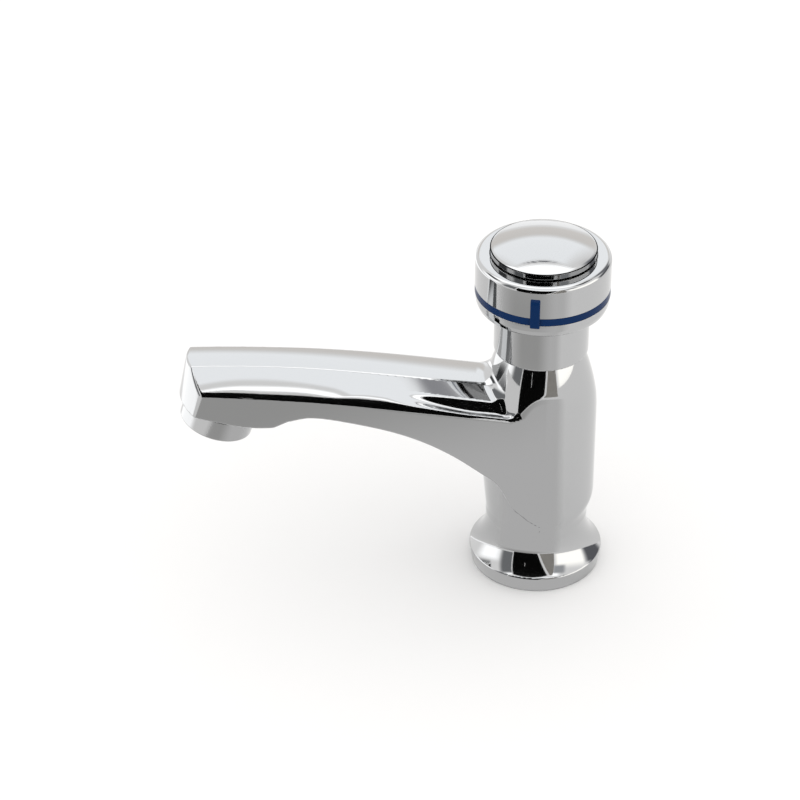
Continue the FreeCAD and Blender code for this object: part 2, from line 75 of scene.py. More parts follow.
# %% A mesh with its own normals
def mesh_object(name, points_mm, faces, normals, body, slot, *nodes):
    mesh = bpy.data.meshes.new(name)
    mesh.from_pydata((np.asarray(points_mm) * 0.001).tolist(), [], np.asarray(faces).tolist())
    mesh.polygons.foreach_set("use_smooth", [True] * len(mesh.polygons))
    mesh.update()
    mesh.normals_split_custom_set_from_vertices(np.asarray(normals).tolist())
    thing = bpy.data.objects.new(name, mesh)
    bpy.context.scene.collection.objects.link(thing)
    if nodes:
        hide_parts(*nodes)
    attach(thing, body)
    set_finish(thing, slot)
    print(name, len(mesh.vertices), "points", len(mesh.polygons), "faces")
    return thing


# %% [markdown]
# ## The cast body as one field
# On the real tap the body is one brass casting: a flared foot, an oval column, a shoulder with a neck, and an
# arched spout. It could be modelled by hand with curves and booleans, but the soft run from the spout into the
# shoulder is hard that way. Here each part is a signed distance, negative inside. Parts join with a rounded
# minimum and are trimmed with a rounded maximum, and r is the radius of the round.

# %% Rounded joins and trims
def round_min(a, b, r):
    return np.maximum(np.minimum(a, b), r) - np.hypot(np.maximum(r - a, 0), np.maximum(r - b, 0))


def round_max(a, b, r):
    return np.minimum(np.maximum(a, b), -r) + np.hypot(np.maximum(a + r, 0), np.maximum(b + r, 0))


def ease(s, start, end):
    """Rises softly from 0 at start to 1 at end."""
    k = np.clip((s - start) / (end - start), 0, 1)
    return k * k * (3 - 2 * k)


# %% [markdown]
# ## Curves through measured points
# The flare and the shoulder are arcs, so three points on the photo's outline fix each of them.
# The arch and the sides of the spout bend freely: a natural spline passes through all their points and also gives
# its slope.

# %% Arcs and splines
def circle_through(p, q, w):
    """The centre and the radius of the circle through three points."""
    (x1, y1), (x2, y2), (x3, y3) = p, q, w
    a = np.array([[x2 - x1, y2 - y1], [x3 - x1, y3 - y1]]) * 2.0
    b = np.array([x2**2 - x1**2 + y2**2 - y1**2, x3**2 - x1**2 + y3**2 - y1**2])
    x, y = np.linalg.solve(a, b)
    return x, y, math.hypot(x1 - x, y1 - y)


def spline(points):
    """A natural cubic spline through (x, y) points, as a function that gives its height and its slope."""
    x, y = np.array(points, float).T
    h = np.diff(x)
    n = len(x)
    a = np.eye(n)
    b = np.zeros(n)
    for i in range(1, n - 1):
        a[i, i - 1:i + 2] = h[i - 1], 2 * (h[i - 1] + h[i]), h[i]
        b[i] = 3 * ((y[i + 1] - y[i]) / h[i] - (y[i] - y[i - 1]) / h[i - 1])
    c = np.linalg.solve(a, b)
    d = np.diff(c) / (3 * h)
    e = np.diff(y) / h - h * (2 * c[:-1] + c[1:]) / 3

    def value(u):
        u = np.clip(u, x[0], x[-1])
        i = np.clip(np.searchsorted(x, u) - 1, 0, n - 2)
        v = u - x[i]
        return y[i] + v * (e[i] + v * (c[i] + v * d[i])), e[i] + v * (2 * c[i] + 3 * v * d[i])

    return value


# %% [markdown]
# ## Foot, post and barrel
# The foot is turned: a short cone, then a hollow flare up to the waist. The post above it carries the arch.
# The barrel is the round column with its shoulder. A leaning side is first measured level, and a factor below 1
# turns that into the distance square to it.

# %% Turned parts
FOOT_R = 24.1
RIM_R, RIM_Z = 25.0, 6.1
WAIST_R, WAIST_Z = 19.0, 21.5
POST_Z, POST_TOP_Z, POST_WIDENS = 24.4, 48.0, 2.3
BARREL_R, BARREL_LOW_Z = 21.6, 32.0
SHOULDER_Z, SHOULDER_TOP_Z = 66.0, 95.2
NECK_R, NECK_Z, NECK_TOP_Z = 17.28, 94.5, 127.0
flare_r, flare_z, flare_size = circle_through((RIM_R, RIM_Z), (20.45, 12.4), (WAIST_R, WAIST_Z))
should_r, should_z, should_size = circle_through((BARREL_R, SHOULDER_Z), (18.95, 84.0), (15.4, NECK_Z))
print("flare arc", round(flare_size, 2), "shoulder arc", round(should_size, 2))


def foot(r, z):
    cone = (r - FOOT_R - 0.9 * z / RIM_Z) * 0.989
    flare = np.where(z < WAIST_Z, flare_size - np.hypot(r - flare_r, z - flare_z), r - WAIST_R)
    high = POST_TOP_Z - POST_Z
    post = (r - WAIST_R - np.clip(z - POST_Z, 0, high) * POST_WIDENS / high) * 0.996
    flare = np.where(z < POST_Z, flare, post)
    return np.maximum(round_max(cone, flare, 0.35), z - SHOULDER_Z)


def barrel(r, z):
    low = (r - WAIST_R - (z - POST_Z) * (BARREL_R - WAIST_R) / (BARREL_LOW_Z - POST_Z)) * 0.946
    shoulder = np.where(z > SHOULDER_Z, np.hypot(r - should_r, z - should_z) - should_size, r - BARREL_R)
    return np.maximum(round_max(low, shoulder, 1.0), z - SHOULDER_TOP_Z)


# %% [markdown]
# ## The oval wall
# Seen from above, the column is round at the back and runs on into the flat sides of the spout, which come closer to
# each other towards the tip. The rows give the spout at ten places: distance from the axis, half width, height of the
# crest and height of the side edge. Smooth lines through them keep the long reflections calm.

# %% Lines of the spout and the wall
OVAL_DEPTH, OVAL_WIDTH = 21.2, 19.1
FREE_BELOW_Z = 24.0
spout_rows = np.array([
    (0, 19.10, 80.0, 72.4), (15.5, 18.44, 82.6, 74.9), (27, 17.95, 84.5, 76.7), (38, 17.35, 86.4, 78.4),
    (52.5, 16.50, 89.0, 80.4), (70.5, 15.55, 91.7, 82.6), (88.5, 14.80, 93.8, 84.6), (105, 14.30, 95.2, 86.4),
    (119, 14.00, 96.0, 87.7), (134, 13.85, 96.4, 88.8),
])
crest_line = np.polynomial.Polynomial.fit(spout_rows[:, 0], spout_rows[:, 2], 4)
edge_line = np.polynomial.Polynomial.fit(spout_rows[:, 0], spout_rows[:, 3], 4)
half_line = spline([(0, 19.10), (8, 18.86)] + [(s, w) for s, w, _, _ in spout_rows[1:]] + [(150, 13.8)])
print("crest off its rows by", round(float(np.abs(crest_line(spout_rows[:, 0]) - spout_rows[:, 2]).max()), 3))


def wall(s, t, z):
    """The oval and the two sides. Below the waist it opens out, so that the round foot stays whole."""
    q = (s / OVAL_DEPTH) ** 2 + (t / OVAL_WIDTH) ** 2 - 1.0
    back = q / (2 * np.sqrt(s**2 / OVAL_DEPTH**4 + t**2 / OVAL_WIDTH**4) + 1e-9)
    half, slope = half_line(s)
    side = (np.abs(t) - half) / np.sqrt(1 + slope**2)
    return np.where(s < 0, back, side) - 1.5 * np.maximum(0, FREE_BELOW_Z - z)


# %% [markdown]
# ## Roof of the spout
# A flat, slightly crowned crest runs between two long slopes. Chrome makes the least bend of these slopes visible:
# they bulge by a quarter of a millimetre, the crest is a little narrower at the tip, and near the column the lower edge
# has a bevel and a shallow cove, which draw the dark band and the light lines along it.

# %% Roof
CREST_HALF = 7.0
CROWN = 0.3
BEVEL_TILT = math.radians(57.0)
ROOF_FLOOR_Z = 25.0


def roof(s, t, z):
    root = ease(s, 84.0, 46.0)
    lift = 1.7 * ease(s, 76.0, 48.0) - 1.1 * ease(s, 54.0, 24.0)
    cove = 2.0 * ease(s, 60.0, 24.0)
    crest = crest_line(s)
    edge = edge_line(s)
    half, _ = half_line(s)
    flat = CREST_HALF - 0.5 * ease(s, 60.0, 108.0)
    bulge = 0.25 * ease(s, 46.0, 68.0) - 0.1 * ease(s, 76.0, 104.0)
    wide, drop = half - flat, edge + lift - crest
    slope = (-drop * (np.abs(t) - flat) + wide * (z - crest)) / np.hypot(wide, drop)
    along = np.clip((np.abs(t) - flat) / wide, 0, 1)
    low = np.clip((along - 0.5) / 0.5, 0, 1)
    slope = slope - bulge * 4 * along * (1 - along) + cove * (1 - np.cos(2 * math.pi * low)) / 2
    bevel = math.sin(BEVEL_TILT) * (np.abs(t) - half) + math.cos(BEVEL_TILT) * (z - edge)
    slope = round_max(slope, bevel, 0.2 + 0.6 * root)
    top = (z - crest - CROWN * (1 - (t / flat) ** 2)) * 0.99
    return np.maximum(np.maximum(round_max(top, slope, 0.25), -s), ROOF_FLOOR_Z - z)


# %% [markdown]
# ## Arch, outlet boss and nose
# The arch under the spout follows a spline measured along its edge in the photo. It ends in a small step and the flat,
# tilted face that carries the aerator. The nose is a slightly round end that leans back and bulges more at its top.

# %% Underside and nose
arch_line = spline([
    (0.5, 26.0), (5.4, 29.3), (8.0, 31.6), (11.5, 35.2), (13.7, 39.4), (16.2, 44.2), (21.5, 49.7),
    (28.6, 55.4), (38.2, 62), (52.7, 69), (70.8, 74.3), (84, 76.8), (90, 77), (96, 77),
])
ARCH_END_S = 92.0
STEP_S, STEP_Z = 90.0, 77.0
BOSS_Z, BOSS_TURN_S = 73.0, 108.4
OUTLET_TILT = math.radians(17.0)
NOSE_LOW_Z, NOSE_HIGH_Z, NOSE_HALF = 70.0, 98.0, 14.0


def under(s, z):
    height, slope = arch_line(s)
    height = height + np.maximum(s - ARCH_END_S, 0)
    arch = np.minimum(s - 0.5, (height - z) / np.sqrt(1 + slope**2))
    step = -0.43 * (s - STEP_S) - 0.903 * (z - STEP_Z)
    tilted = math.sin(OUTLET_TILT) * (s - BOSS_TURN_S) - math.cos(OUTLET_TILT) * (z - BOSS_Z)
    boss = round_max(round_max(step, BOSS_Z - z, 0.6), tilted, 2.0)
    return round_min(arch, boss, 2.5)


def nose(s, t, z):
    """An arc in plan, whose ends and bulge change with the height."""
    k = np.maximum(z - NOSE_LOW_Z, -10.0) / (NOSE_HIGH_Z - NOSE_LOW_Z)
    ends = 129.7 - 8.6 * k
    bulge = 4.2 + 3.2 * k
    size = (NOSE_HALF**2 + bulge**2) / (2 * bulge)
    return (np.hypot(np.maximum(s - ends - bulge + size, 0), t) - size) * 0.956


# %% [markdown]
# ## The whole casting
# Roof and barrel join softly, which gives the hollow between spout and shoulder. The arch and the nose trim them.
# The post joins from below, the oval wall trims all of it, and the neck stands on the shoulder with a crisp lower edge.

# %% One field
def casting(s, t, z):
    r = np.hypot(s, t)
    side = wall(s, t, z)
    shoulder = round_max(barrel(r, z), side, 0.5)
    spout = round_max(roof(s, t, z), side, 0.3 + 0.5 * ease(s, 84.0, 46.0))
    upper = round_min(shoulder, spout, 4.5 - 0.27 * np.clip(84.0 - z, 0, 11))
    upper = round_max(upper, under(s, z), 0.5)
    upper = round_max(upper, nose(s, t, z), 0.7)
    body = np.maximum(round_min(upper, round_max(foot(r, z), side, 0.6), 0.6), side)
    neck = round_max(round_max(r - NECK_R, NECK_Z - z, 0.35), z - NECK_TOP_Z, 0.3)
    return np.maximum(np.minimum(body, neck), -z)


# %% [markdown]
# ## From field to mesh
# The field is sampled on a fine grid. Each grid cell that the surface passes gets one point, in the middle of the
# places where the surface crosses the cell's edges. Blender's own remesher makes a mesh in a like way, but it would
# soften the crisp edges of the neck and the outlet.

# %% One point for each cell
CORNERS = [(i, j, k) for i in (0, 1) for j in (0, 1) for k in (0, 1)]


def sampled(field, axes):
    values = np.empty([len(a) for a in axes], np.float32)
    t, z = np.meshgrid(axes[1], axes[2], indexing="ij")
    for i, s in enumerate(axes[0]):
        values[i] = field(s, t, z)
    return values


def crossed_cells(inside):
    size = [n - 1 for n in inside.shape]
    count = np.zeros(size, np.int8)
    for i, j, k in CORNERS:
        count += inside[i:i + size[0], j:j + size[1], k:k + size[2]]
    return np.argwhere((count > 0) & (count < 8))


def middle_of_crossings(values, cells):
    total = np.zeros((len(cells), 3))
    hits = np.zeros(len(cells))
    for a in CORNERS:
        for axis in range(3):
            if a[axis]:
                continue
            b = list(a)
            b[axis] = 1
            va = values[tuple((cells + a).T)]
            vb = values[tuple((cells + b).T)]
            crossed = (va < 0) != (vb < 0)
            share = np.where(crossed, va / np.where(crossed, va - vb, 1), 0)
            spot = np.tile(np.array(a, float), (len(cells), 1))
            spot[:, axis] = share
            total += spot * crossed[:, None]
            hits += crossed
    return total / hits[:, None]


# %% [markdown]
# ## Faces between the points
# Wherever the surface crosses an edge of the grid, the four cells round that edge give one face with four corners.
# Its corners are turned round where needed, so that every face looks outwards.

# %% Surface nets
def faces_between(inside, cells):
    size = [n - 1 for n in inside.shape]
    index = np.full(size, -1, np.int32)
    index[tuple(cells.T)] = np.arange(len(cells))
    faces = []
    for axis in range(3):
        u, v = (axis + 1) % 3, (axis + 2) % 3
        near = [slice(0, n) for n in inside.shape]
        far = list(near)
        near[axis] = slice(0, -1)
        far[axis] = slice(1, None)
        turn = np.argwhere(inside[tuple(near)] != inside[tuple(far)])
        turn = turn[(turn[:, u] > 0) & (turn[:, v] > 0) & (turn[:, u] < size[u]) & (turn[:, v] < size[v])]
        out = inside[tuple(near)][tuple(turn.T)]
        ring = []
        for du, dv in ((1, 1), (0, 1), (0, 0), (1, 0)):
            cell = turn.copy()
            cell[:, u] -= du
            cell[:, v] -= dv
            ring.append(index[tuple(cell.T)])
        quads = np.stack(ring, 1)
        quads[~out] = quads[~out][:, ::-1]
        faces.append(quads)
    return np.concatenate(faces)


def surface_nets(field, low, high, step):
    axes = [np.arange(a, b + step, step) for a, b in zip(low, high)]
    values = sampled(field, axes)
    cells = crossed_cells(values < 0)
    points = (cells + middle_of_crossings(values, cells)) * step + np.array([a[0] for a in axes])
    return points, faces_between(values < 0, cells)


# %% [markdown]
# ## Points settle on the surface
# Each point slides along the slope of the field until it lies on the surface, which also gives its exact normal.
# That is what makes the casting look polished, although its faces are half a millimetre wide.

# %% The casting as a mesh
def slopes(field, p, h=0.02):
    g = np.empty_like(p)
    for k in range(3):
        step = np.zeros(3)
        step[k] = h
        g[:, k] = (field(*(p + step).T) - field(*(p - step).T)) / (2 * h)
    return g


def settle(field, points, times=4):
    for _ in range(times):
        g = slopes(field, points)
        points = points - g * (field(*points.T) / np.maximum((g**2).sum(1), 1e-6))[:, None]
    g = slopes(field, points, 0.01)
    return points, g / np.linalg.norm(g, axis=1)[:, None]


def to_row(p):
    """From (s, t, z) to the frame, where the spout points along -y."""
    return np.stack([p[:, 1], -p[:, 0], p[:, 2]], 1)


GRID = 0.5
points, quads = surface_nets(casting, (-26.1, -26.1, -1.1), (136.2, 26.2, 128.2), GRID)
points, normals = settle(casting, points)
print("casting", len(points), "points, off the surface by", float(np.abs(casting(*points.T)).max()))
cast_body = mesh_object("cast_body", to_row(points), quads, to_row(normals), "tap", "chrome", "body")

# %% [markdown]
# ## Rounded profiles
# Collar, button, ring and aerator are turned on the real tap, so each is one profile spun round its axis.
# Every corner of a profile gets a small round, because a polished edge is never sharp, and its highlight draws the
# piece.

# %% Rounding a profile
def rounded(corners, steps=5):
    """Walks (r, z, round) corners from the first to the last and returns points with their outward normals."""
    pts, nrm = [], []
    n = len(corners)
    for i, (x, y, radius) in enumerate(corners):
        here = np.array([x, y], float)
        before = np.array(corners[i - 1][:2], float) if i else None
        after = np.array(corners[i + 1][:2], float) if i < n - 1 else None
        d0 = (here - before) / np.linalg.norm(here - before) if before is not None else None
        d1 = (after - here) / np.linalg.norm(after - here) if after is not None else None
        if d0 is None or d1 is None:
            d = d1 if d0 is None else d0
            pts.append(here)
            nrm.append(np.array([d[1], -d[0]]))
            continue
        n0, n1 = np.array([d0[1], -d0[0]]), np.array([d1[1], -d1[0]])
        turn = math.atan2(d0[0] * d1[1] - d0[1] * d1[0], float(np.clip(d0 @ d1, -1, 1)))
        if radius <= 0 or abs(turn) < 1e-4:
            pts += [here, here]
            nrm += [n0, n1]
            continue
        cut = radius * math.tan(abs(turn) / 2)
        start = here - d0 * cut
        centre = start - n0 * radius * math.copysign(1, turn)
        for k in range(steps + 1):
            a = turn * k / steps
            c, w = math.cos(a), math.sin(a)
            nn = np.array([c * n0[0] - w * n0[1], w * n0[0] + c * n0[1]])
            pts.append(centre + nn * radius * math.copysign(1, turn))
            nrm.append(nn)
    return np.array(pts), np.array(nrm)


# %% [markdown]
# ## Spinning a profile
# Blender's Screw modifier would spin a profile as well. Here the points and normals are spun directly, so that the
# reflections run round a piece without a seam, and a piece that leans can be put in its place at once.

# %% Spinning
def spin(name, corners, body, slot, *nodes, steps=256, place=None):
    """Spins a profile, walked so that the material is on its left, round the vertical axis."""
    pts, nrm = rounded(corners)
    angles = np.linspace(0, 2 * math.pi, steps, endpoint=False)
    c, w = np.cos(angles)[:, None], np.sin(angles)[:, None]
    p = np.stack([pts[:, 0] * c, pts[:, 0] * w, np.tile(pts[:, 1], (steps, 1))], 2)
    q = np.stack([nrm[:, 0] * c, nrm[:, 0] * w, np.tile(nrm[:, 1], (steps, 1))], 2)
    m = len(pts)
    faces = []
    for i in range(steps):
        j = (i + 1) % steps
        for k in range(m - 1):
            if np.linalg.norm(pts[k] - pts[k + 1]) > 1e-6:
                faces.append((i * m + k, j * m + k, j * m + k + 1, i * m + k + 1))
    p, q = p.reshape(-1, 3), q.reshape(-1, 3)
    if place is not None:
        turn = np.array(place.to_3x3())
        p = p @ turn.T + np.array(place.translation)
        q = q @ turn.T
    return mesh_object(name, p, faces, q, body, slot, *nodes)


# %% [markdown]
# ## Collar
# The collar is a wide drum that hangs over the neck. Its lower rim is chamfered, its upper rim is rounded like a
# coin's, and a groove low on its side holds the blue ring.

# %% Collar
COLLAR_R, COLLAR_BORE_R = 24.49, 17.4
COLLAR_LOW_Z, COLLAR_FLOOR_Z, COLLAR_TOP_Z = 113.0, 128.0, 134.0
BUTTON_HOLE_R = 19.30
RING_SEAT_R, RING_LOW_Z, RING_HIGH_Z = 22.95, 118.6, 121.6
spin("collar", [
    (COLLAR_BORE_R, COLLAR_FLOOR_Z, 0), (COLLAR_BORE_R, COLLAR_LOW_Z, 0.2), (22.39, COLLAR_LOW_Z, 0.5),
    (23.49, 113.9, 1.2), (24.14, 115.7, 3.0), (24.39, 117.6, 2.0),
    (COLLAR_R, RING_LOW_Z, 0.1), (RING_SEAT_R, RING_LOW_Z, 0.05),
    (RING_SEAT_R, RING_HIGH_Z, 0.05), (COLLAR_R, RING_HIGH_Z, 0.12),
    (COLLAR_R, COLLAR_TOP_Z, 2.0), (BUTTON_HOLE_R, COLLAR_TOP_Z, 0.15),
    (BUTTON_HOLE_R, COLLAR_FLOOR_Z, 0.1), (COLLAR_BORE_R, COLLAR_FLOOR_Z, 0),
], "tap", "chrome", "head_collar")

# %% [markdown]
# ## Blue ring
# A plastic ring snaps into the groove and marks the cold supply. It is spun like the collar, a little narrower than
# its groove, so that a thin dark line shows above and below it.

# %% Ring
RING_R, RING_GAP = 24.43, 0.05
ring_low, ring_high = RING_LOW_Z + RING_GAP, RING_HIGH_Z - RING_GAP
spin("ring", [
    (RING_SEAT_R, ring_high, 0), (RING_SEAT_R, ring_low, 0.1), (RING_R, ring_low, 0.15),
    (RING_R, ring_high, 0.15), (RING_SEAT_R, ring_high, 0),
], "tap", "blue_plastic", "index_ring")

# %% [markdown]
# ## Tab of the ring
# The ring carries an upright tab that covers the set screw of the collar. It is not turned, so it is made as the
# casting is: a block trimmed by rounded planes, with a bevel at its top and its foot, then turned to its place.

# %% Tab
TAB_TURN = math.radians(-13.1)
TAB_FACE_R, TAB_HALF = 25.49, 1.75
TAB_LOW_Z, TAB_BEVEL_Z, TAB_TOP_Z = 117.7, 128.4, 130.3


def tab_block(a, b, z):
    """The tab in its own frame: a points out of the collar, b runs across it."""
    front = round_max(a - TAB_FACE_R, 0.78 * (a - TAB_FACE_R) + 0.62 * (z - TAB_BEVEL_Z), 0.5)
    low = round_max(TAB_LOW_Z - z, 0.77 * (a - 24.99) + 0.64 * (TAB_LOW_Z - z), 0.2)
    flat = round_max(round_max(front, low, 0.2), z - TAB_TOP_Z, 0.3)
    return np.maximum(round_max(flat, np.abs(b) - TAB_HALF, 0.45), RING_SEAT_R - a)


points, quads = surface_nets(tab_block, (22.6, -2.0, 117.4), (25.8, 2.0, 130.6), 0.14)
points, normals = settle(tab_block, points)
to_tab = np.array(Matrix.Rotation(TAB_TURN, 3, "Z"))
mesh_object("ring_tab", points @ to_tab.T, quads, normals @ to_tab.T, "tap", "blue_plastic", "index_ring")

# %% [markdown]
# ## Aerator
# The turned housing under the tip screws into the boss. It leans forward with the boss, so the water lands in the bowl.
# Its profile is drawn upright, with height 0 at the face of the boss, and the whole piece is then tilted.

# %% Aerator
AERATOR_S = 116.7
AERATOR_R, AERATOR_BORE_R, THREAD_R, LIP_R = 13.5, 10.2, 12.0, 9.0
AERATOR_LOW_Z, LIP_Z, SEAT_Z, THREAD_TOP_Z = -8.0, -6.8, -0.05, 5.2
outlet_z = BOSS_Z + (AERATOR_S - BOSS_TURN_S) * math.tan(OUTLET_TILT)
outlet = Matrix.Translation((0, -AERATOR_S, outlet_z)) @ Matrix.Rotation(-OUTLET_TILT, 4, "X")
spin("aerator", [
    (AERATOR_BORE_R, THREAD_TOP_Z, 0), (AERATOR_BORE_R, LIP_Z, 0.1), (LIP_R, LIP_Z, 0.3), (LIP_R, AERATOR_LOW_Z, 0.3),
    (AERATOR_R, AERATOR_LOW_Z, 0.7), (AERATOR_R, SEAT_Z, 0.3), (THREAD_R, SEAT_Z, 0.1),
    (THREAD_R, THREAD_TOP_Z, 0.3), (AERATOR_BORE_R, THREAD_TOP_Z, 0),
], "tap", "chrome", "aerator_housing", place=outlet)

# %% [markdown]
# ## Push button
# A shallow pressed cap: a dome of about 55 mm radius on a short rim, with a slightly smaller skirt that goes into the
# collar. The dome is part of the same profile, as 25 short steps from the rim to the middle.

# %% Button
BUTTON_R, SKIRT_R, SKIRT_INNER_R = 19.08, 18.55, 17.0
SKIRT_Z, RIM_LOW_Z, RIM_TOP_Z = 132.4, 134.45, 136.65
DOME_RISE, DOME_STEPS = 3.4, 24
dome_size = (BUTTON_R**2 + DOME_RISE**2) / (2 * DOME_RISE)
dome_z = RIM_TOP_Z + DOME_RISE - dome_size
lean = math.asin(18.6 / dome_size)
cap = [
    (SKIRT_INNER_R, 135.0, 0), (SKIRT_INNER_R, SKIRT_Z, 0.2), (SKIRT_R, SKIRT_Z, 0.2), (SKIRT_R, RIM_LOW_Z, 0.1),
    (BUTTON_R, RIM_LOW_Z, 0.25), (BUTTON_R, RIM_TOP_Z - 0.1, 0.45),
]
for k in range(DOME_STEPS + 1):
    a = lean * (1 - k / DOME_STEPS)
    cap.append((dome_size * math.sin(a), dome_z + dome_size * math.cos(a), 8.0 if k < DOME_STEPS else 0))
spin("button_cap", cap, "button", "chrome", "push_button")
print("dome radius", round(dome_size, 1), "mm")

# %% [markdown]
# ## Finishes
# Chrome is a bright metal with a faint blue-grey tint. Fine wipe marks, made by a noise in its roughness, keep it from
# looking like a computer mirror. The plastics and the rubber are not metals, and differ in colour and roughness.

# %% Materials
def finish(name, colour, metal=0.0, rough=0.4, wear=0.0, scale=60.0, sheen=0.5):
    mat = bpy.data.materials.new(name)
    mat.use_nodes = True
    nodes, links = mat.node_tree.nodes, mat.node_tree.links
    shader = nodes["Principled BSDF"]
    shader.inputs["Base Color"].default_value = (*colour, 1.0)
    shader.inputs["Metallic"].default_value = metal
    shader.inputs["Roughness"].default_value = rough
    shader.inputs["Specular IOR Level"].default_value = sheen
    if wear:
        place = nodes.new("ShaderNodeTexCoord")
        noise = nodes.new("ShaderNodeTexNoise")
        noise.inputs["Scale"].default_value = scale
        noise.inputs["Detail"].default_value = 4.0
        links.new(place.outputs["Object"], noise.inputs["Vector"])
        spread = nodes.new("ShaderNodeMapRange")
        spread.inputs["From Min"].default_value = 0.3
        spread.inputs["From Max"].default_value = 0.7
        spread.inputs["To Min"].default_value = rough
        spread.inputs["To Max"].default_value = rough + wear
        links.new(noise.outputs["Fac"], spread.inputs["Value"])
        links.new(spread.outputs["Result"], shader.inputs["Roughness"])
    return mat


finishes = {
    "chrome": finish("polished_chrome", (0.47, 0.475, 0.48), 1.0, 0.03, 0.03),
    "blue_plastic": finish("blue_plastic", (0.002, 0.02, 0.08), 0.0, 0.25, 0.05, sheen=0.08),
    "brass": finish("brass", (0.62, 0.46, 0.22), 1.0, 0.3, 0.1),
    "steel": finish("steel", (0.5, 0.5, 0.5), 1.0, 0.25, 0.1),
    "rubber": finish("rubber", (0.02, 0.02, 0.02), 0.0, 0.7, 0.1),
    "white_plastic": finish("white_plastic", (0.7, 0.7, 0.68), 0.0, 0.4, 0.1),
    "grey_plastic": finish("grey_plastic", (0.25, 0.26, 0.27), 0.0, 0.45, 0.1),
    "fibre": finish("fibre", (0.3, 0.12, 0.07), 0.0, 0.8, 0.1),
}

# %% [markdown]
# ## Every piece gets its finish
# The record of the frame names a material for each hidden piece, and the new surfaces carry theirs as a mark.
# One loop reads both, so no piece is forgotten.

# %% Finishes on the pieces
slot_of = {}
for entry in frame["record"]["subparts"]:
    slot_of[entry["node"]] = entry["material_slot"]
finished = 0
for thing in bpy.data.objects:
    if thing.type != "MESH":
        continue
    name = thing.get("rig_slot") or slot_of.get(thing.name)
    if name in finishes:
        thing.data.materials.clear()
        thing.data.materials.append(finishes[name])
        finished += 1
print(finished, "pieces with a finish")

# %% [markdown]
# ## Camera
# The photo was taken from a little to the left of square on, about a third of the way up, with a long lens.
# The ellipses of the foot, the collar and the button gave the angle, and the distance follows from how much they
# differ.

# %% Camera
FOCAL_PIXELS, PHOTO_PIXELS, SENSOR = 3158, 800, 36.0
CAMERA_RIGHT, CAMERA_UP, CAMERA_FAR = -51.26, 57.98, 1202
yaw, pitch = math.radians(4.5), math.radians(34.5)
right = Vector((math.sin(yaw), math.cos(yaw), 0))
ahead = Vector((-math.cos(yaw), math.sin(yaw), 0))
up = math.sin(pitch) * ahead + math.cos(pitch) * Vector((0, 0, 1))
forward = math.cos(pitch) * ahead - math.sin(pitch) * Vector((0, 0, 1))
camera = bpy.data.objects.new("camera", bpy.data.cameras.new("camera"))
bpy.context.scene.collection.objects.link(camera)
camera.data.sensor_width = SENSOR
camera.data.lens = SENSOR * FOCAL_PIXELS / PHOTO_PIXELS
camera.data.clip_end = 20.0
camera.location = (CAMERA_RIGHT * right + CAMERA_UP * up - CAMERA_FAR * forward) * 0.001
camera.rotation_euler = Matrix([right, up, -forward]).transposed().to_euler()
bpy.context.scene.camera = camera
print("lens", round(camera.data.lens, 1), "mm, camera at", [round(v, 3) for v in camera.location])

# %% [markdown]
# ## Floor
# The tap stands on a wide, matt, pale floor. It is plain, so that only the soft shadow round the foot shows on it.

# %% Plain matt surfaces and the floor
def plain(name, colour):
    mat = bpy.data.materials.new(name)
    mat.use_nodes = True
    shader = mat.node_tree.nodes["Principled BSDF"]
    shader.inputs["Base Color"].default_value = (*colour, 1.0)
    shader.inputs["Roughness"].default_value = 1.0
    shader.inputs["Specular IOR Level"].default_value = 0.0
    return mat


def only_in_reflections(thing):
    bpy.context.scene.collection.objects.link(thing)
    thing.visible_camera = thing.visible_diffuse = thing.visible_shadow = False
    return thing


FLOOR_HALF = 6
floor_mesh = bpy.data.meshes.new("floor")
floor_mesh.from_pydata([
    (-FLOOR_HALF, -FLOOR_HALF, 0), (FLOOR_HALF, -FLOOR_HALF, 0),
    (FLOOR_HALF, FLOOR_HALF, 0), (-FLOOR_HALF, FLOOR_HALF, 0),
], [], [(0, 1, 2, 3)])
floor = bpy.data.objects.new("floor", floor_mesh)
bpy.context.scene.collection.objects.link(floor)
floor_mesh.materials.append(plain("pale_floor", (0.86, 0.86, 0.86)))
print("floor", 2 * FLOOR_HALF, "m wide")

# %% [markdown]
# ## Glowing cloths
# A photographer lights chrome with large cloths that glow softly and fade out at their edges, since every lamp
# shows in it. Here each cloth is a mesh that emits light in its middle and turns clear towards its rim, and only
# reflections see it.

# %% Material and mesh of a glowing cloth
PANES = 12


